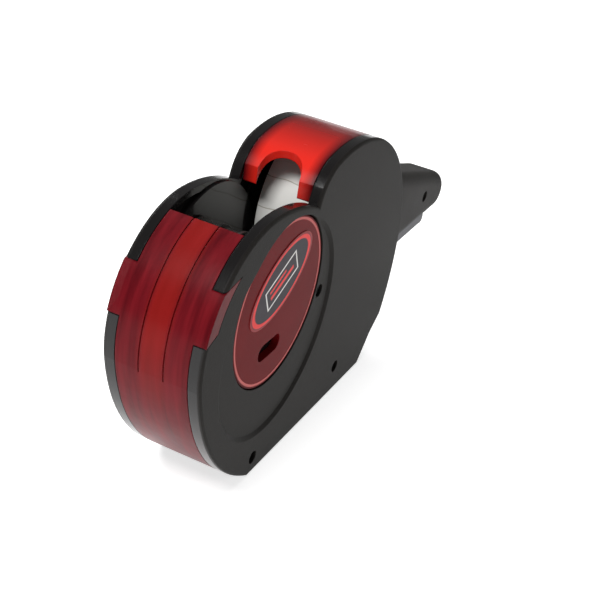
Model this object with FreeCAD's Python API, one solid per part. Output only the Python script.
import FreeCAD, Part
import math
import os

os.makedirs("parts", exist_ok=True)

# Hand-held price labeler.  +X runs from the round nose to the tail of the handle, +Y is the
# right-hand side, +Z is up.  The origin lies on the flat underside, below the round side disc.
# All sizes are in millimetres.

# ---------------------------------------------------------------- general sizes
HALF_WIDTH = 19.0           # mid-plane to the outer side face of a shell
SIDE_WALL = 2.6             # thickness of a shell's side wall
RIM_WIDTH = 4.7             # width of the rim that frames cover and lid
RIM_DEPTH = 2.6             # thickness of the rim, measured into the body
PARTING_GAP = 0.01          # each shell stops this far from the mid-plane
EDGE_ROUND = 1.1            # rounding of a shell's outer edge
FIT_GAP = 0.3               # clearance round a piece that is clipped, laid or swung in
RUN_GAP = 0.05              # radial clearance of a running fit

# ---------------------------------------------------------------- side outline
HEAD_X = -14.0              # centre of the round head
HEAD_Z = 69.0
HEAD_RADIUS = 41.5
HEAD_LOW_ANGLE = 190.0      # where the lower front curve leaves the head circle
FRONT_BULGE = 8.8           # how far the lower front curve stands off its chord
BASE_FRONT_X = -8.0         # flat underside, front end
VALLEY_X = 20.0             # low point between head and reel housing
VALLEY_DROP = 7.5           # height of the head's top above the valley
REEL_X = 49.0               # centre of the reel housing's long arc
REEL_Z = 50.0
REEL_RADIUS = 68.5
REEL_FRONT_ANGLE = 103.0
REEL_REAR_ANGLE = 4.0
REAR_X = REEL_X + REEL_RADIUS                    # rearmost point of the reel housing
BASE_REAR_X = REAR_X - 23.5                      # flat underside, rear end
TAIL_LOW = (REAR_X - 5.5, 18.0)                  # lower end of the tail's curve
TAIL_KINK = (REAR_X - 14.0, 11.5)                # step between tail and underside

# ---------------------------------------------------------------- side discs
DISC_RADIUS = 33.0
DISC_Z = 72.0
DISC_THICKNESS = 3.0
DISC_SINK = 0.3             # disc face below the dish floor
DISH_X = 1.5                # shallow dish round the disc
DISH_Z = 60.3
DISH_RADIUS = 43.2
DISH_DEPTH = 1.0
DISH_SLOPE = 1.6            # radial run of the dish's sloped wall
POCKET_FLOOR = 1.2
WINDOW_X = -3.0             # obround window in the left disc
WINDOW_Z = 54.5
WINDOW_LENGTH = 16.5
WINDOW_HEIGHT = 6.8
STICKER_LONG = 23.0         # half axes of the oval sticker
STICKER_SHORT = 12.0
STICKER_THICKNESS = 0.3
STICKER_X = -1.0
STICKER_RISE = 9.5          # sticker centre above the disc centre
STICKER_TILT = 25.0

# ---------------------------------------------------------------- front cover
COVER_THICKNESS = 2.4
COVER_TOP_ANGLE = 110.0     # upper edge, measured round the head centre
COVER_PIN_X = -24.0
COVER_PIN_Z = 14.0
COVER_PIN_RADIUS = 1.2
PLAIN_PIN_RADIUS = 1.5      # lid hinge, ink roller and applicator roller share one pin size
COVER_BARREL_RADIUS = 2.6
COVER_END_ANGLE = 262.0
LUG_INNER_RADIUS = 71.6     # lug edges are arcs round the cover's hinge pin
LUG_OUTER_RADIUS = 84.1
LUG_DEPTH = 5.6
GROOVE_HALF_PITCH = 4.8     # two long grooves in the cover
GROOVE_WIDTH = 0.5
GROOVE_DEPTH = 0.5
GROOVE_LOW_Z = 61.0

# ---------------------------------------------------------------- reel lid and roll
LID_THICKNESS = 2.6
LID_REAR_ANGLE = 37.0
LID_PIN_INSET = 3.8         # hinge pin below the outer arc
LID_BARREL_RADIUS = 2.8
LID_EDGE_X = 22.5           # front edge of the lid
FINGER_NOTCH_RADIUS = 8.5
ROLL_X = REEL_X + 11.0
ROLL_Z = REEL_Z + 34.0
ROLL_RADIUS = 29.0
ROLL_WIDTH = 22.0
CORE_OUTER_RADIUS = 14.5
CORE_WALL = 1.8
HUB_FLANGE_RADIUS = 17.0
HUB_FLANGE_THICKNESS = 0.9
REEL_AXLE_RADIUS = 4.0

# ---------------------------------------------------------------- print head
ARM_X = 60.0                # pivot of the print arm
ARM_Z = 33.0
ARM_SHAFT_RADIUS = 3.0
ARM_PLATE_THICKNESS = 1.3
ARM_PLATE_Y = 11.6          # inner face of each arm plate
SETTING_X = -12.0           # axis of the setting wheels
SETTING_Z = 85.0
SETTING_WHEEL_RADIUS = 7.9
TYPE_X = 2.0                # axis of the type bar at the lower end of the bands
TYPE_Z = 25.0
TYPE_BAR_RADIUS = 4.4
BAND_COUNT = 8
BAND_PITCH = 2.8
BAND_WIDTH = 2.4
BAND_THICKNESS = 1.4
SELECTOR_RADIUS = 2.9
WHEEL_TUBE_WALL = 0.9
KNOB_RADIUS = 7.5
KNOB_LENGTH = 7.0
HEAD_CAP_GAP = 2.0
HEAD_CAP_THICKNESS = 1.5
HEAD_SWING = 6.0            # degrees the print arm swings down

# ---------------------------------------------------------------- ink and label path
INK_X = -22.0
INK_Z = 30.5
INK_RADIUS = 6.5
PLATEN_FRONT_X = -9.4
PLATEN_REAR_X = 13.0
PLATEN_TOP_Z = 12.0
PLATEN_THICKNESS = 6.5
PAD_THICKNESS = 1.2
PEEL_THICKNESS = 0.6
PLATEN_HALF_WIDTH = 12.6
APPLICATOR_X = -13.2
APPLICATOR_Z = 6.6
APPLICATOR_RADIUS = 3.4
FEED_X = 33.0
FEED_Z = 14.5
FEED_RADIUS = 8.6
FEED_PIN_HEIGHT = 1.0
FEED_PIN_COUNT = 8
FEED_AXLE_RADIUS = 2.0
RATCHET_RADIUS = 6.6
RATCHET_TEETH = 12
PAWL_PIN = (FEED_X + 16.0, FEED_Z - 2.0)
PAWL_PIN_RADIUS = 1.2
WEB_THICKNESS = 0.3

# ---------------------------------------------------------------- trigger and grip
TRIGGER_X = REAR_X - 13.5
TRIGGER_Z = 33.0
TRIGGER_PIN_RADIUS = 2.5
TRIGGER_HALF_WIDTH = 8.5
TRIGGER_END_X = REAR_X + 63.5
TRIGGER_LOW_Z = 36.5
TRIGGER_SWING = 8.0         # degrees of squeeze
LINK_DROP_ARM = 11.0        # link pin below the arm pivot
LINK_PIN_RADIUS = 1.5
SPRING_WIRE = 0.55          # wire radius of the trigger's spring
SPRING_TURNS = 5
LINK_THICKNESS = 2.0
GRIP_HALF_WIDTH = 11.5
GRIP_WALL = 2.4
GRIP_FRONT_X = REAR_X - 11.5
GRIP_LOW_Z = 41.0           # lower edge of the side walls
GRIP_ROOT = (REAR_X + 0.5, 60.8)                 # the grip tapers from a large circle here
GRIP_TIP = (REAR_X + 70.5, 50.5)                 # to a small circle at the tail
GRIP_ROUND = 6.0

# ---------------------------------------------------------------- fasteners
BOSS_SCREWS = [(35.5, 62.0), (65.5, 12.8)]
PLATEN_SCREW = (-5.6, 7.5)
SCREW_RADIUS = 1.4
SCREW_HEAD_RADIUS = 2.5
SCREW_HEAD_LENGTH = 1.8
SCREW_RECESS = 2.2          # head lies this far below the side face
SCREW_LENGTH = 22.0
BOSS_RADIUS = 3.7
GRIP_SCREW = (REAR_X + 50.3, 55.0)

# ---------------------------------------------------------------- base flap
FLAP_FRONT_X = 18.0
FLAP_PIN_X = BASE_REAR_X - 6.0
FLAP_THICKNESS = 2.0
FLAP_HALF_WIDTH = 12.0
FLAP_PIN_RADIUS = 1.2
FLAP_BARREL_RADIUS = 2.4

FLAP_PIN_Z = FLAP_BARREL_RADIUS + FIT_GAP
HEAD = (HEAD_X, HEAD_Z)
REEL = (REEL_X, REEL_Z)
INNER_HALF = HALF_WIDTH - RIM_WIDTH              # inner face of a rim
WALL_IN = HALF_WIDTH - SIDE_WALL                 # inner face of a side wall
PAD_IN = HALF_WIDTH - DISH_DEPTH - DISC_SINK - DISC_THICKNESS - 0.1 - POCKET_FLOOR
FAR = 300.0                                      # reaches past the whole object
LEFT = -1
RIGHT = 1


# ================================================================ helpers
def at(x, z, y=0.0):
    return FreeCAD.Vector(x, y, z)


def polar(centre, radius, degrees):
    angle = math.radians(degrees)
    return (centre[0] + radius * math.cos(angle), centre[1] + radius * math.sin(angle))


def bulged(a, b, height):
    """Middle point of an arc from a to b that stands to the left of the chord by height."""
    dx = b[0] - a[0]
    dz = b[1] - a[1]
    length = math.hypot(dx, dz)
    return ((a[0] + b[0]) / 2 - dz / length * height, (a[1] + b[1]) / 2 + dx / length * height)


def tangent_middle(start, centre, end):
    """Middle point of the arc from start that runs smoothly into a circle round centre at end."""
    radius = math.hypot(end[0] - centre[0], end[1] - centre[1])
    ux = (end[0] - centre[0]) / radius
    uz = (end[1] - centre[1]) / radius
    dx = end[0] - start[0]
    dz = end[1] - start[1]
    small = (dx * dx + dz * dz) / (2 * (dx * ux + dz * uz))
    own = (end[0] - small * ux, end[1] - small * uz)
    first = math.degrees(math.atan2(start[1] - own[1], start[0] - own[0]))
    last = math.degrees(math.atan2(uz, ux))
    return polar(own, small, (first + last) / 2)


def outline(start, steps):
    """Closed face in the XZ plane.  A step is (point,) for a line or (middle, point) for an arc."""
    edges = []
    here = start
    for step in steps:
        if len(step) == 1:
            edges.append(Part.LineSegment(at(*here), at(*step[0])).toShape())
        else:
            edges.append(Part.Arc(at(*here), at(*step[0]), at(*step[1])).toShape())
        here = step[-1]
    return Part.Face(Part.Wire(edges))


def polygon(points):
    return outline(points[0], [(p,) for p in points[1:]] + [(points[0],)])


def slab(face, y0, y1):
    moved = face.copy()
    moved.translate(FreeCAD.Vector(0, y0, 0))
    return moved.extrude(FreeCAD.Vector(0, y1 - y0, 0))


def rod(x, z, radius, y0, y1):
    return Part.makeCylinder(radius, y1 - y0, at(x, z, y0), FreeCAD.Vector(0, 1, 0))


def tube(x, z, outer, inner, y0, y1):
    return rod(x, z, outer, y0, y1).cut(rod(x, z, inner, y0 - 1, y1 + 1))


def block(x0, x1, y0, y1, z0, z1):
    return Part.makeBox(x1 - x0, y1 - y0, z1 - z0, FreeCAD.Vector(x0, y0, z0))


def obround(x, z, length, height, y0, y1, tilt=0.0):
    half = (length - height) / 2
    r = height / 2
    face = outline((x - half, z - r), [((x + half, z - r),), ((x + half + r, z), (x + half, z + r)),
                                       ((x - half, z + r),), ((x - half - r, z), (x - half, z - r))])
    face.rotate(at(x, z), FreeCAD.Vector(0, -1, 0), tilt)
    return slab(face, y0, y1)


def belt_face(a, ra, b, rb):
    """Outline of a belt round two circles: a above with radius ra, b below with radius rb."""
    dx = b[0] - a[0]
    dz = b[1] - a[1]
    distance = math.hypot(dx, dz)
    heading = math.degrees(math.atan2(dz, dx))
    spread = math.degrees(math.acos((ra - rb) / distance))
    a1 = polar(a, ra, heading + spread)
    a2 = polar(a, ra, heading - spread)
    b1 = polar(b, rb, heading + spread)
    b2 = polar(b, rb, heading - spread)
    return outline(a1, [(polar(a, ra, heading + 180), a2), (b2,), (polar(b, rb, heading), b1), (a1,)])


def mirrored(shape):
    return shape.mirror(FreeCAD.Vector(0, 0, 0), FreeCAD.Vector(0, 1, 0))


def both_sides(shape):
    return shape.fuse(mirrored(shape))


def joined(shapes):
    result = shapes[0]
    for shape in shapes[1:]:
        result = result.fuse(shape)
    return result.removeSplitter()


def save(name, shape):
    solids = shape.Solids
    whole = solids[0] if len(solids) == 1 else Part.makeCompound(solids)
    whole.exportStep("parts/" + name + ".step")
    volume = sum(solid.Volume for solid in solids)
    box = whole.BoundBox
    print("%-20s solids %d  volume %9.1f  x %7.1f..%6.1f  y %6.1f..%5.1f  z %6.1f..%6.1f  %s" % (
        name, len(solids), volume, box.XMin, box.XMax, box.YMin, box.YMax, box.ZMin, box.ZMax,
        "ok" if whole.isValid() else "INVALID"))


# ================================================================ derived places
def body_face():
    """Side outline of the casing, from the front of the underside round over the head."""
    head_low = polar(HEAD, HEAD_RADIUS, HEAD_LOW_ANGLE)
    head_top = (HEAD_X, HEAD_Z + HEAD_RADIUS)
    valley = (VALLEY_X, head_top[1] - VALLEY_DROP)
    run = VALLEY_X - HEAD_X
    crown = (run * run + VALLEY_DROP * VALLEY_DROP) / (2 * VALLEY_DROP)
    crown_half = math.degrees(math.asin(run / crown)) / 2
    crown_mid = polar((HEAD_X, head_top[1] - crown), crown, 90 - crown_half)
    reel_front = polar(REEL, REEL_RADIUS, REEL_FRONT_ANGLE)
    reel_mid = polar(REEL, REEL_RADIUS, (REEL_FRONT_ANGLE + REEL_REAR_ANGLE) / 2)
    reel_rear = polar(REEL, REEL_RADIUS, REEL_REAR_ANGLE)
    return outline((BASE_FRONT_X, 0.0), [
        (bulged((BASE_FRONT_X, 0.0), head_low, FRONT_BULGE), head_low),
        (polar(HEAD, HEAD_RADIUS, (HEAD_LOW_ANGLE + 90) / 2), head_top),
        (crown_mid, valley),
        (tangent_middle(valley, REEL, reel_front), reel_front),
        (reel_mid, reel_rear),
        (tangent_middle(TAIL_LOW, REEL, reel_rear), TAIL_LOW),
        (TAIL_KINK,),
        ((BASE_REAR_X, 0.0),),
        ((BASE_FRONT_X, 0.0),)])


def inset(face, distance):
    return face.makeOffset2D(-distance)


def sector(centre, first, last):
    """Wide pie slice round centre, from angle first to angle last."""
    points = [centre]
    steps = 8
    for i in range(steps + 1):
        points.append(polar(centre, FAR, first + (last - first) * i / steps))
    return polygon(points)


BODY = body_face()
RIM_BAND = BODY.cut(inset(BODY, RIM_DEPTH))
COVER_PIN = (COVER_PIN_X, COVER_PIN_Z)
LID_PIN = polar(REEL, REEL_RADIUS - LID_PIN_INSET, LID_REAR_ANGLE)
LINK_DROP_TRIGGER = LINK_DROP_ARM * math.sin(math.radians(HEAD_SWING)) / math.sin(math.radians(TRIGGER_SWING))
SCREW_PLACES = BOSS_SCREWS + [PLATEN_SCREW]
LINK_FRONT = (ARM_X, ARM_Z - LINK_DROP_ARM)
PLAIN_PINS = [LID_PIN, (INK_X, INK_Z), (APPLICATOR_X, APPLICATOR_Z)]
LINK_REAR = (TRIGGER_X, TRIGGER_Z - LINK_DROP_TRIGGER)


def open_zone():
    """Everything outside the casing from the applicator roller round to the lid's hinge."""
    swing = math.degrees(math.asin((LID_PIN_INSET + 2 * FIT_GAP) / (REEL_RADIUS - LID_PIN_INSET)))
    lid_end = polar(REEL, FAR, LID_REAR_ANGLE - swing)
    nose_end = APPLICATOR_X + APPLICATOR_RADIUS + FIT_GAP
    low = APPLICATOR_Z + APPLICATOR_RADIUS
    return polygon([(-FAR, -FAR), (nose_end, -FAR), (nose_end, low), (VALLEY_X, low), REEL, lid_end,
                    (REEL_X, FAR), (-FAR, FAR)])


def grip_face():
    return belt_face(GRIP_ROOT, GRIP_ROOT[1] - GRIP_LOW_Z, GRIP_TIP, GRIP_TIP[1] - GRIP_LOW_Z)


def lug_face(play):
    """Lug of the front cover, bounded by arcs round the hinge pin so that it swings clear."""
    pin = at(*COVER_PIN)
    across = FreeCAD.Vector(0, 1, 0)
    ring = Part.Face(Part.Wire(Part.makeCircle(LUG_OUTER_RADIUS + play, pin, across)))
    hole = Part.Face(Part.Wire(Part.makeCircle(LUG_INNER_RADIUS - play, pin, across)))
    band = BODY.cut(inset(BODY, LUG_DEPTH + play))
    front = sector(HEAD, 120.0, 190.0)
    return band.common(ring.cut(hole)).common(front)


def selector_slot(play, y0, y1):
    """Path that the selector shaft sweeps as the print arm swings."""
    start = (SETTING_X, SETTING_Z)
    turn = math.radians(-HEAD_SWING)
    dx = SETTING_X - ARM_X
    dz = SETTING_Z - ARM_Z
    end = (ARM_X + dx * math.cos(turn) + dz * math.sin(turn),
           ARM_Z - dx * math.sin(turn) + dz * math.cos(turn))
    r = SELECTOR_RADIUS + play
    return slab(belt_face(start, r + 0.001, end, r), y0, y1)


# ================================================================ casing
def rounded_wall():
    """Side wall whose outer edge is rounded in two facets."""
    wires = []
    for degrees in (0, 45, 90):
        angle = math.radians(degrees)
        depth = EDGE_ROUND * (1 - math.cos(angle))
        wire = BODY.makeOffset2D(-depth, 1).OuterWire if degrees else BODY.OuterWire.copy()
        wire.translate(FreeCAD.Vector(0, HALF_WIDTH - EDGE_ROUND + EDGE_ROUND * math.sin(angle), 0))
        wires.append(wire)
    edge = Part.makeLoft(wires, True, True)
    return slab(BODY, WALL_IN, HALF_WIDTH - EDGE_ROUND).fuse(edge)


def shell(side):
    """One half of the casing, made on the right and mirrored for the left."""
    rim = slab(RIM_BAND, PARTING_GAP, WALL_IN + 0.01)
    rim = rim.cut(slab(open_zone(), -1, INNER_HALF))
    pieces = [rounded_wall(), rim]
    inside = slab(inset(BODY, 0.2), 0, WALL_IN + 0.5)
    pieces.append(rod(0, DISC_Z, DISC_RADIUS + 2.5, PAD_IN, WALL_IN + 0.01))
    for x, z in BOSS_SCREWS:
        pieces.append(rod(x, z, BOSS_RADIUS, PARTING_GAP, WALL_IN + 0.01).common(inside))
    pieces.append(rod(PLATEN_SCREW[0], PLATEN_SCREW[1], BOSS_RADIUS, PLATEN_HALF_WIDTH, WALL_IN + 0.01))
    pieces.append(rod(FLAP_PIN_X, FLAP_PIN_Z, 3.2, FLAP_HALF_WIDTH + FIT_GAP, WALL_IN + 0.01).common(inside))
    for x, z, r in pin_seats():
        pieces.append(rod(x, z, r + 2.0, INNER_HALF + 0.4, WALL_IN + 0.01).common(inside))
    body = joined(pieces)
    cuts = [
        Part.makeCone(DISH_RADIUS - DISH_SLOPE, DISH_RADIUS + DISH_SLOPE, 2 * DISH_DEPTH,
                      at(DISH_X, DISH_Z, HALF_WIDTH - DISH_DEPTH), FreeCAD.Vector(0, 1, 0)),
        rod(0, DISC_Z, DISC_RADIUS + 0.25, PAD_IN + POCKET_FLOOR, FAR),
        slab(lug_face(FIT_GAP), INNER_HALF - 1, FAR),
        grip_socket(),
        flap_window(),
    ]
    for x, z in SCREW_PLACES:
        if side == LEFT:
            cuts.append(rod(x, z, SCREW_RADIUS + 0.15, -1, HALF_WIDTH))
            seat = HALF_WIDTH - SCREW_RECESS - SCREW_HEAD_LENGTH
            cuts.append(rod(x, z, SCREW_HEAD_RADIUS + 0.2, seat, FAR))
        elif (x, z) in BOSS_SCREWS:
            cuts.append(rod(x, z, SCREW_RADIUS, -1, SCREW_LENGTH - HALF_WIDTH + SCREW_RECESS + 1))
    for x, z, r in pin_seats():
        cuts.append(rod(x, z, r + RUN_GAP, -1, HALF_WIDTH - 1.2))
    cuts.append(rod(FLAP_PIN_X, FLAP_PIN_Z, FLAP_PIN_RADIUS + RUN_GAP, -1, FLAP_HALF_WIDTH + 3.0))
    if side == RIGHT:
        cuts.append(selector_slot(0.5, 0, FAR))
        cuts.append(rod(PAWL_PIN[0], PAWL_PIN[1], PAWL_PIN_RADIUS + RUN_GAP, 0, HALF_WIDTH - 1.2))
    for cut in cuts:
        body = body.cut(cut)
    body = body.removeSplitter()
    return body if side == RIGHT else mirrored(body)


def pin_seats():
    """Blind seats in the side walls for the fixed pins: x, z and pin radius."""
    return [(COVER_PIN_X, COVER_PIN_Z, COVER_PIN_RADIUS),
            (LID_PIN[0], LID_PIN[1], PLAIN_PIN_RADIUS),
            (ROLL_X, ROLL_Z, REEL_AXLE_RADIUS),
            (ARM_X, ARM_Z, ARM_SHAFT_RADIUS),
            (TRIGGER_X, TRIGGER_Z, TRIGGER_PIN_RADIUS),
            (APPLICATOR_X, APPLICATOR_Z, PLAIN_PIN_RADIUS),
            (FEED_X, FEED_Z, FEED_AXLE_RADIUS),
            (INK_X, INK_Z, PLAIN_PIN_RADIUS)]


PIN_END = HALF_WIDTH - 1.4                       # the pins stop just short of their seats


def grip_socket():
    """Room in the tail wall for the grip's neck and for the trigger below it."""
    play = FIT_GAP / 2
    neck = slab(grip_face().makeOffset2D(play), -1, GRIP_HALF_WIDTH + play)
    neck = neck.common(block(GRIP_FRONT_X - play, FAR, -1, FAR, 0, FAR))
    lever_way = block(TRIGGER_X, FAR, -1, TRIGGER_HALF_WIDTH + FIT_GAP, TRIGGER_Z - 2.5, GRIP_LOW_Z + 1)
    return neck.fuse(lever_way)


def flap_window():
    front = FLAP_FRONT_X - FIT_GAP
    rear = FLAP_PIN_X + FLAP_BARREL_RADIUS + FIT_GAP
    return block(front, rear, -1, FLAP_HALF_WIDTH + FIT_GAP, -1, RIM_DEPTH + 3)


def side_disc(side):
    y0 = PAD_IN + POCKET_FLOOR + 0.1
    y1 = y0 + DISC_THICKNESS
    disc = rod(0, DISC_Z, DISC_RADIUS, y0, y1)
    rim_edge = [e for e in disc.Edges if abs(e.BoundBox.YMin - y1) < 1e-6]
    disc = disc.makeFillet(0.6, rim_edge)
    if side == LEFT:
        disc = disc.cut(obround(WINDOW_X, WINDOW_Z, WINDOW_LENGTH, WINDOW_HEIGHT, 0, FAR))
        return mirrored(disc)
    return disc.cut(selector_slot(0.5, 0, FAR))


def sticker(side):
    y0 = PAD_IN + POCKET_FLOOR + 0.1 + DISC_THICKNESS
    centre = at(0, 0, y0)
    oval = Part.Ellipse(centre, STICKER_LONG, STICKER_SHORT).toShape()
    oval.rotate(centre, FreeCAD.Vector(1, 0, 0), 90)
    face = Part.Face(Part.Wire(oval))
    face.rotate(at(0, 0, y0), FreeCAD.Vector(0, -1, 0), STICKER_TILT)
    face.translate(FreeCAD.Vector(STICKER_X, 0, DISC_Z + STICKER_RISE))
    plate = face.extrude(FreeCAD.Vector(0, STICKER_THICKNESS, 0))
    if side == LEFT:
        return mirrored(plate)
    return plate.cut(selector_slot(0.5, 0, FAR)).cut(rod(SETTING_X, SETTING_Z, KNOB_RADIUS + 8, 0, FAR))


def front_cover():
    width = INNER_HALF - FIT_GAP
    band = BODY.cut(inset(BODY, COVER_THICKNESS))
    zone = sector(HEAD, COVER_TOP_ANGLE, COVER_END_ANGLE)
    panel = slab(band.common(zone), -width, width)
    barrel = rod(COVER_PIN_X, COVER_PIN_Z, COVER_BARREL_RADIUS, -width, width)
    lug = slab(lug_face(0), width - 1.0, HALF_WIDTH)
    cover = joined([panel, barrel, lug, mirrored(lug)])
    below = block(-FAR, FAR, -FAR, FAR, -FAR, COVER_PIN_Z - COVER_BARREL_RADIUS)
    cover = cover.cut(below)
    cover = cover.cut(rod(COVER_PIN_X, COVER_PIN_Z, COVER_PIN_RADIUS + RUN_GAP, -FAR, FAR))
    groove_band = BODY.cut(inset(BODY, GROOVE_DEPTH)).common(sector(HEAD, COVER_TOP_ANGLE - 5, 215.0))
    for y in (-GROOVE_HALF_PITCH, GROOVE_HALF_PITCH):
        groove = slab(groove_band, y - GROOVE_WIDTH / 2, y + GROOVE_WIDTH / 2)
        cover = cover.cut(groove.common(block(-FAR, FAR, -FAR, FAR, GROOVE_LOW_Z, FAR)))
    return cover


def reel_lid():
    width = INNER_HALF - FIT_GAP
    band = BODY.cut(inset(BODY, LID_THICKNESS))
    zone = polygon([(LID_EDGE_X, REEL_Z), REEL, polar(REEL, FAR, LID_REAR_ANGLE), (LID_EDGE_X, FAR)])
    panel = slab(band.common(zone), -width, width)
    barrel = rod(LID_PIN[0], LID_PIN[1], LID_BARREL_RADIUS, -width, width)
    lid = joined([panel, barrel])
    notch = Part.makeCylinder(FINGER_NOTCH_RADIUS, 2 * FAR, FreeCAD.Vector(LID_EDGE_X - 1.0, 0, -FAR))
    lid = lid.cut(notch)
    return lid.cut(rod(LID_PIN[0], LID_PIN[1], PLAIN_PIN_RADIUS + RUN_GAP, -FAR, FAR))


def base_flap():
    plate = block(FLAP_FRONT_X, FLAP_PIN_X, -FLAP_HALF_WIDTH, FLAP_HALF_WIDTH,
                  FIT_GAP, FIT_GAP + FLAP_THICKNESS)
    barrel = rod(FLAP_PIN_X, FLAP_PIN_Z, FLAP_BARREL_RADIUS, -FLAP_HALF_WIDTH, FLAP_HALF_WIDTH)
    stub = FLAP_HALF_WIDTH + 2.7
    flap = joined([plate, barrel, rod(FLAP_PIN_X, FLAP_PIN_Z, FLAP_PIN_RADIUS, -stub, stub)])
    for i in range(3):
        x = FLAP_FRONT_X + 12 + 20 * i
        flap = flap.fuse(block(x, x + 1.2, -FLAP_HALF_WIDTH + 1, FLAP_HALF_WIDTH - 1, 1.5, 3.4))
    return flap.removeSplitter()


# ================================================================ reel
def label_roll():
    return tube(ROLL_X, ROLL_Z, ROLL_RADIUS, CORE_OUTER_RADIUS, -ROLL_WIDTH / 2, ROLL_WIDTH / 2)


def roll_core():
    half = ROLL_WIDTH / 2
    return tube(ROLL_X, ROLL_Z, CORE_OUTER_RADIUS, CORE_OUTER_RADIUS - CORE_WALL, -half, half)


def reel_hub():
    half = ROLL_WIDTH / 2
    barrel = rod(ROLL_X, ROLL_Z, CORE_OUTER_RADIUS - CORE_WALL - RUN_GAP, -half, half)
    flange = rod(ROLL_X, ROLL_Z, HUB_FLANGE_RADIUS, half, half + HUB_FLANGE_THICKNESS)
    hub = joined([barrel, flange])
    ring = tube(ROLL_X, ROLL_Z, CORE_OUTER_RADIUS - CORE_WALL - 1.6, REEL_AXLE_RADIUS + 2, -FAR, -half + 9)
    hub = hub.cut(ring.common(rod(ROLL_X, ROLL_Z, CORE_OUTER_RADIUS, -half - 1, -half + 9)))
    return hub.cut(rod(ROLL_X, ROLL_Z, REEL_AXLE_RADIUS + RUN_GAP, -FAR, FAR))


def cross_pin(x, z, radius):
    return rod(x, z, radius, -PIN_END, PIN_END)


# ================================================================ print head
def arm_plate():
    """Side plate of the print arm: a low bar from the pivot and a tall cheek in the head."""
    bar = belt_face((ARM_X, ARM_Z), 6.5, (12.0, TYPE_Z + 3), 6.4)
    cheek = belt_face((SETTING_X, SETTING_Z), 8.5, (TYPE_X, TYPE_Z + 3), 8.0)
    horn = belt_face((ARM_X, ARM_Z), 5.0, LINK_FRONT, 3.6)
    plate = joined([slab(f, ARM_PLATE_Y, ARM_PLATE_Y + ARM_PLATE_THICKNESS) for f in (bar, cheek, horn)])
    return plate


def print_arm():
    cross_rear = tube(ARM_X, ARM_Z, 5.5, ARM_SHAFT_RADIUS + RUN_GAP, -ARM_PLATE_Y - 0.1, ARM_PLATE_Y + 0.1)
    cross_mid = block(ARM_X - 14.0, ARM_X - 11.0, -ARM_PLATE_Y - 0.1, ARM_PLATE_Y + 0.1, ARM_Z - 3, ARM_Z + 3)
    arm = joined([both_sides(arm_plate()), cross_rear, cross_mid])
    arm = arm.cut(rod(ARM_X, ARM_Z, ARM_SHAFT_RADIUS + RUN_GAP, -FAR, FAR))
    arm = arm.cut(rod(SETTING_X, SETTING_Z, SELECTOR_RADIUS + RUN_GAP, -FAR, FAR))
    arm = arm.cut(rod(TYPE_X, TYPE_Z, 2.0, -FAR, FAR))
    return arm.cut(rod(LINK_FRONT[0], LINK_FRONT[1], LINK_PIN_RADIUS, -FAR, FAR))


def type_bar():
    bar = rod(TYPE_X, TYPE_Z, TYPE_BAR_RADIUS, -ARM_PLATE_Y + 0.1, ARM_PLATE_Y - 0.1)
    ends = rod(TYPE_X, TYPE_Z, 1.95, -ARM_PLATE_Y - ARM_PLATE_THICKNESS, ARM_PLATE_Y + ARM_PLATE_THICKNESS)
    return joined([bar, ends])


def band_y(index):
    return (index - (BAND_COUNT - 1) / 2) * BAND_PITCH


def type_bands():
    """Printing bands that run round the setting wheels above and the type bar below."""
    a = (SETTING_X, SETTING_Z)
    b = (TYPE_X, TYPE_Z)
    inner_a = SETTING_WHEEL_RADIUS + 0.2
    inner_b = TYPE_BAR_RADIUS + 0.2
    loop = belt_face(a, inner_a + BAND_THICKNESS, b, inner_b + BAND_THICKNESS)
    loop = loop.cut(belt_face(a, inner_a, b, inner_b))
    places = [band_y(index) for index in range(BAND_COUNT)]
    return Part.makeCompound([slab(loop, y - BAND_WIDTH / 2, y + BAND_WIDTH / 2) for y in places])


def setting_wheel(index):
    y = band_y(index)
    bore = SELECTOR_RADIUS + WHEEL_TUBE_WALL + 2 * RUN_GAP
    wheel = tube(SETTING_X, SETTING_Z, SETTING_WHEEL_RADIUS, bore, y - BAND_WIDTH / 2, y + BAND_WIDTH / 2)
    teeth = 12
    for i in range(teeth):
        x, z = polar((SETTING_X, SETTING_Z), SETTING_WHEEL_RADIUS, 360 * i / teeth)
        wheel = wheel.cut(rod(x, z, 0.9, -FAR, FAR))
    return wheel


def wheel_tube():
    inner = SELECTOR_RADIUS + RUN_GAP
    return tube(SETTING_X, SETTING_Z, inner + WHEEL_TUBE_WALL, inner, -ARM_PLATE_Y + 0.02, ARM_PLATE_Y - 0.02)


def selector_shaft():
    return rod(SETTING_X, SETTING_Z, SELECTOR_RADIUS, -ARM_PLATE_Y, HALF_WIDTH + 1.0 + KNOB_LENGTH - 2.0)


def selector_knob():
    y0 = HALF_WIDTH + 1.0
    knob = rod(SETTING_X, SETTING_Z, KNOB_RADIUS, y0, y0 + KNOB_LENGTH)
    edge = [e for e in knob.Edges if abs(e.BoundBox.YMin - (y0 + KNOB_LENGTH)) < 1e-6]
    knob = knob.makeFillet(1.0, edge)
    flutes = 12
    for i in range(flutes):
        x, z = polar((SETTING_X, SETTING_Z), KNOB_RADIUS + 0.5, 360 * i / flutes)
        knob = knob.cut(rod(x, z, 1.2, y0 - 1, y0 + KNOB_LENGTH - 1.5))
    return knob.cut(rod(SETTING_X, SETTING_Z, SELECTOR_RADIUS + RUN_GAP, y0 - 1, y0 + KNOB_LENGTH - 1.9))


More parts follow.
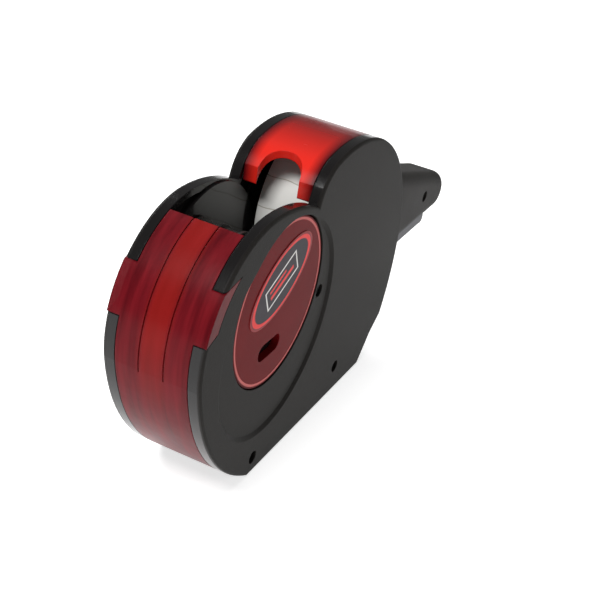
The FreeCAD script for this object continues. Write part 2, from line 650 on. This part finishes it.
def head_cap():
    """Curved hood over the setting wheels, with raised ribs, clipped between the arm plates."""
    inner = SETTING_WHEEL_RADIUS + 0.2 + BAND_THICKNESS + HEAD_CAP_GAP
    outer = inner + HEAD_CAP_THICKNESS
    width = ARM_PLATE_Y + ARM_PLATE_THICKNESS
    zone = slab(sector((SETTING_X, SETTING_Z), 15.0, 175.0), -FAR, FAR)
    hood = tube(SETTING_X, SETTING_Z, outer, inner, -width, width).common(zone)
    ribs = [tube(SETTING_X, SETTING_Z, outer + 1.2, inner, y - 0.6, y + 0.6).common(zone)
            for y in (-width + 0.6, -width / 3, width / 3, width - 0.6)]
    cheek = tube(SETTING_X, SETTING_Z, inner + 0.1, 8.6, ARM_PLATE_Y, width).common(zone)
    return joined([hood] + ribs + [cheek, mirrored(cheek)])


# ================================================================ ink and label path
def ink_roller():
    return tube(INK_X, INK_Z, INK_RADIUS, PLAIN_PIN_RADIUS + RUN_GAP, -ARM_PLATE_Y + 0.6, ARM_PLATE_Y - 0.6)


def ink_holder():
    """Cartridge that hangs on the ink pin: two cheeks and a back in front of the roller."""
    cheek = slab(belt_face((INK_X - 2.0, INK_Z + 6.0), 4.0, (INK_X, INK_Z), 3.4),
                 ARM_PLATE_Y - 0.2, ARM_PLATE_Y + 1.2)
    zone = slab(sector((INK_X, INK_Z), 110.0, 200.0), -FAR, FAR)
    back = tube(INK_X, INK_Z, INK_RADIUS + 2.2, INK_RADIUS + 0.7, -ARM_PLATE_Y - 1.2, ARM_PLATE_Y + 1.2)
    back = back.common(zone)
    side = tube(INK_X, INK_Z, INK_RADIUS + 0.8, 3.3, ARM_PLATE_Y - 0.2, ARM_PLATE_Y + 1.2).common(zone)
    holder = joined([back, both_sides(side), both_sides(cheek)])
    return holder.cut(rod(INK_X, INK_Z, PLAIN_PIN_RADIUS + RUN_GAP, -FAR, FAR))


def platen():
    top = PLATEN_TOP_Z - PAD_THICKNESS
    w = PLATEN_HALF_WIDTH
    bar = block(PLATEN_FRONT_X, PLATEN_REAR_X, -w, w, top - PLATEN_THICKNESS, top)
    tip = SCREW_LENGTH - HALF_WIDTH + SCREW_RECESS + 1
    return bar.cut(rod(PLATEN_SCREW[0], PLATEN_SCREW[1], SCREW_RADIUS, -FAR, tip))


def platen_pad():
    return block(PLATEN_FRONT_X + 5, PLATEN_REAR_X - 2, -ROLL_WIDTH / 2, ROLL_WIDTH / 2,
                 PLATEN_TOP_Z - PAD_THICKNESS, PLATEN_TOP_Z)


def peel_plate():
    """Thin steel plate on the platen's front edge that strips the labels off their backing."""
    low = PLATEN_TOP_Z - PAD_THICKNESS
    return block(PLATEN_FRONT_X - 1.2, PLATEN_FRONT_X + 4.5, -PLATEN_HALF_WIDTH, PLATEN_HALF_WIDTH,
                 low, low + PEEL_THICKNESS)


def applicator_roller():
    half = INNER_HALF - 0.6
    core = tube(APPLICATOR_X, APPLICATOR_Z, APPLICATOR_RADIUS, PLAIN_PIN_RADIUS + RUN_GAP, -half, half)
    for i in range(5):
        y = -half + (i + 1) * 2 * half / 6
        groove = tube(APPLICATOR_X, APPLICATOR_Z, APPLICATOR_RADIUS + 1, APPLICATOR_RADIUS - 0.6,
                      y - 0.7, y + 0.7)
        core = core.cut(groove)
    return core


def feed_wheel():
    half = 9.0
    wheel = tube(FEED_X, FEED_Z, FEED_RADIUS, FEED_AXLE_RADIUS + RUN_GAP, -half, half)
    for side in (LEFT, RIGHT):
        for i in range(FEED_PIN_COUNT):
            angle = math.radians(360 * i / FEED_PIN_COUNT)
            way = FreeCAD.Vector(math.cos(angle), 0, math.sin(angle))
            foot = at(FEED_X, FEED_Z, side * 6.0) + way * (FEED_RADIUS - 1)
            wheel = wheel.fuse(Part.makeCone(1.2, 0.7, 1 + FEED_PIN_HEIGHT, foot, way))
    return wheel.removeSplitter()


def ratchet_wheel():
    points = []
    for i in range(RATCHET_TEETH):
        points.append(polar((FEED_X, FEED_Z), RATCHET_RADIUS, 360 * i / RATCHET_TEETH))
        points.append(polar((FEED_X, FEED_Z), RATCHET_RADIUS - 1.3, 360 * (i + 0.9) / RATCHET_TEETH))
    wheel = slab(polygon(points), 9.0, 10.6)
    return wheel.cut(rod(FEED_X, FEED_Z, FEED_AXLE_RADIUS + RUN_GAP, 0, FAR))


def feed_pawl():
    """Springy pawl that rests in the ratchet's teeth and hangs on its own pin."""
    tip = polar((FEED_X, FEED_Z), RATCHET_RADIUS + 0.45 + FIT_GAP, 8.0)
    arm = belt_face(PAWL_PIN, 2.6, tip, 0.45)
    return slab(arm, 9.35, 10.6).cut(rod(PAWL_PIN[0], PAWL_PIN[1], PAWL_PIN_RADIUS + RUN_GAP, 0, FAR))


def pawl_pin():
    return rod(PAWL_PIN[0], PAWL_PIN[1], PAWL_PIN_RADIUS, 8.6, PIN_END)


def label_web():
    """Backing strip from the roll round the guide and over the platen to the peeling edge."""
    start = polar((ROLL_X, ROLL_Z), ROLL_RADIUS + 0.4, 205.0)
    path = [start, (PLATEN_REAR_X + 4.5, PLATEN_TOP_Z + 0.2), (PLATEN_FRONT_X - 1.2, PLATEN_TOP_Z + 0.2)]
    t = WEB_THICKNESS
    upper = [(x, z + t) for x, z in path]
    return slab(polygon(path + upper[::-1]), -ROLL_WIDTH / 2, ROLL_WIDTH / 2)


# ================================================================ trigger, link and grip
def trigger_lever():
    w = TRIGGER_HALF_WIDTH
    hub = rod(TRIGGER_X, TRIGGER_Z, 5.5, -w, w)
    rear = belt_face((TRIGGER_X, TRIGGER_Z), 3.2, (TRIGGER_X + 12, TRIGGER_LOW_Z + 3.4), 3.2)
    blade = outline((TRIGGER_X + 10, TRIGGER_LOW_Z), [
        ((TRIGGER_END_X - 4, TRIGGER_LOW_Z),),
        ((TRIGGER_END_X, TRIGGER_LOW_Z + 2.0), (TRIGGER_END_X - 3, TRIGGER_LOW_Z + 5.0)),
        ((TRIGGER_X + 10, TRIGGER_LOW_Z + 6.8),),
        ((TRIGGER_X + 10, TRIGGER_LOW_Z),)])
    horn = belt_face((TRIGGER_X, TRIGGER_Z), 5.0, LINK_REAR, 3.4)
    lever = joined([hub, slab(rear, -w, w), slab(blade, -w, w), slab(horn, -w, w)])
    slot = block(TRIGGER_X - 8, TRIGGER_X + 8, -LINK_THICKNESS / 2 - FIT_GAP, LINK_THICKNESS / 2 + FIT_GAP,
                 LINK_REAR[1] - 6, LINK_REAR[1] + 3.8)
    lever = lever.cut(slot)
    spring_room = tube(TRIGGER_X, TRIGGER_Z, 8.0, TRIGGER_PIN_RADIUS + 1.1, -w + 0.8, -w + 8.0)
    lever = lever.cut(spring_room)
    lever = lever.cut(rod(TRIGGER_X, TRIGGER_Z, TRIGGER_PIN_RADIUS + RUN_GAP, -FAR, FAR))
    return lever.cut(rod(LINK_REAR[0], LINK_REAR[1], LINK_PIN_RADIUS, -FAR, FAR))


def pull_link():
    """Flat bar from the trigger's horn to the horn of the print arm; its front hole has play."""
    bar = belt_face(LINK_REAR, 3.2, LINK_FRONT, 3.199)
    link = slab(bar, -LINK_THICKNESS / 2, LINK_THICKNESS / 2)
    link = link.cut(rod(LINK_REAR[0], LINK_REAR[1], LINK_PIN_RADIUS + RUN_GAP, -FAR, FAR))
    return link.cut(rod(LINK_FRONT[0], LINK_FRONT[1], LINK_PIN_RADIUS + FIT_GAP, -FAR, FAR))


def link_pin_rear():
    w = TRIGGER_HALF_WIDTH
    return rod(LINK_REAR[0], LINK_REAR[1], LINK_PIN_RADIUS, -w, w)


def link_pin_front():
    w = ARM_PLATE_Y + ARM_PLATE_THICKNESS
    return rod(LINK_FRONT[0], LINK_FRONT[1], LINK_PIN_RADIUS, -w, w)


def trigger_spring():
    """Torsion spring on the trigger pin: close-wound turns, each a ring that meets the next."""
    mean = TRIGGER_PIN_RADIUS + 2.2
    y0 = -TRIGGER_HALF_WIDTH + 1.8
    turns = [Part.makeTorus(mean, SPRING_WIRE, at(TRIGGER_X, TRIGGER_Z, y0 + i * 1.9 * SPRING_WIRE),
                            FreeCAD.Vector(0, 1, 0)) for i in range(SPRING_TURNS)]
    return joined(turns)


def grip_half():
    """Right half of the handle, a rounded shell that is open below for the trigger."""
    half = slab(grip_face(), 0, GRIP_HALF_WIDTH)
    outer = [edge for edge in half.Edges if abs(edge.BoundBox.YMin - GRIP_HALF_WIDTH) < 1e-6]
    half = half.makeFillet(GRIP_ROUND, outer)
    half = half.cut(block(-FAR, FAR, -1, PARTING_GAP, -FAR, FAR))
    half = half.cut(block(-FAR, GRIP_FRONT_X, -1, FAR, -FAR, FAR))
    hollow = slab(inset(grip_face(), GRIP_WALL), -1, GRIP_HALF_WIDTH - GRIP_WALL)
    mouth = block(GRIP_FRONT_X - 1, TRIGGER_END_X + 2.5, -2, TRIGGER_HALF_WIDTH + FIT_GAP,
                  GRIP_LOW_Z - 1, GRIP_LOW_Z + GRIP_WALL + 1)
    half = half.cut(hollow).cut(mouth)
    boss = rod(GRIP_SCREW[0], GRIP_SCREW[1], 3.4, PARTING_GAP, GRIP_HALF_WIDTH - GRIP_WALL + 0.2)
    return half.fuse(boss).removeSplitter()


def grip_left():
    half = grip_half()
    half = half.cut(rod(GRIP_SCREW[0], GRIP_SCREW[1], SCREW_RADIUS + 0.15, -1, FAR))
    depth = GRIP_HALF_WIDTH - SCREW_RECESS - SCREW_HEAD_LENGTH
    return mirrored(half.cut(rod(GRIP_SCREW[0], GRIP_SCREW[1], SCREW_HEAD_RADIUS + 0.2, depth, FAR)))


def grip_right():
    blind = GRIP_HALF_WIDTH - GRIP_WALL - 1
    return grip_half().cut(rod(GRIP_SCREW[0], GRIP_SCREW[1], SCREW_RADIUS, -1, blind))


def screw(x, z, half_width, length):
    """Cross-head screw driven in from the left side."""
    head_y = -half_width + SCREW_RECESS
    head = rod(x, z, SCREW_HEAD_RADIUS, head_y, head_y + SCREW_HEAD_LENGTH)
    shank = rod(x, z, SCREW_RADIUS, head_y, head_y + length)
    arm = SCREW_HEAD_RADIUS * 0.6
    cross = block(x - arm, x + arm, head_y - 1, head_y + 0.9, z - 0.35, z + 0.35)
    cross = cross.fuse(block(x - 0.35, x + 0.35, head_y - 1, head_y + 0.9, z - arm, z + arm))
    return joined([head, shank]).cut(cross)


# ================================================================ write every node
save("left_shell", shell(LEFT))
save("right_shell", shell(RIGHT))
save("side_disc_left", side_disc(LEFT))
save("side_disc_right", side_disc(RIGHT))
save("sticker_left", sticker(LEFT))
save("sticker_right", sticker(RIGHT))
save("front_cover", front_cover())
save("cover_hinge_pin", cross_pin(COVER_PIN_X, COVER_PIN_Z, COVER_PIN_RADIUS))
save("reel_lid", reel_lid())
save("base_flap", base_flap())
save("label_roll", label_roll())
save("roll_core", roll_core())
save("reel_hub", reel_hub())
save("reel_axle", cross_pin(ROLL_X, ROLL_Z, REEL_AXLE_RADIUS))
save("label_web", label_web())
save("print_arm", print_arm())
save("arm_shaft", cross_pin(ARM_X, ARM_Z, ARM_SHAFT_RADIUS))
save("type_bar", type_bar())
save("type_bands", type_bands())
for number in range(BAND_COUNT):
    save("setting_wheel_%d" % (number + 1), setting_wheel(number))
save("wheel_tube", wheel_tube())
save("selector_shaft", selector_shaft())
save("selector_knob", selector_knob())
save("head_cap", head_cap())
save("ink_roller", ink_roller())
save("ink_holder", ink_holder())
save("platen", platen())
save("platen_pad", platen_pad())
save("peel_plate", peel_plate())
save("applicator_roller", applicator_roller())
save("plain_pins", Part.makeCompound([cross_pin(x, z, PLAIN_PIN_RADIUS) for x, z in PLAIN_PINS]))
save("feed_wheel", feed_wheel())
save("ratchet_wheel", ratchet_wheel())
save("feed_axle", cross_pin(FEED_X, FEED_Z, FEED_AXLE_RADIUS))
save("feed_pawl", feed_pawl())
save("pawl_pin", pawl_pin())
save("trigger_lever", trigger_lever())
save("trigger_pin", cross_pin(TRIGGER_X, TRIGGER_Z, TRIGGER_PIN_RADIUS))
save("trigger_spring", trigger_spring())
save("pull_link", pull_link())
save("link_pin_front", link_pin_front())
save("link_pin_rear", link_pin_rear())
save("grip_left", grip_left())
save("grip_right", grip_right())
save("grip_screw", screw(GRIP_SCREW[0], GRIP_SCREW[1], GRIP_HALF_WIDTH, 15.0))
save("shell_screws", Part.makeCompound([screw(x, z, HALF_WIDTH, SCREW_LENGTH) for x, z in SCREW_PLACES]))
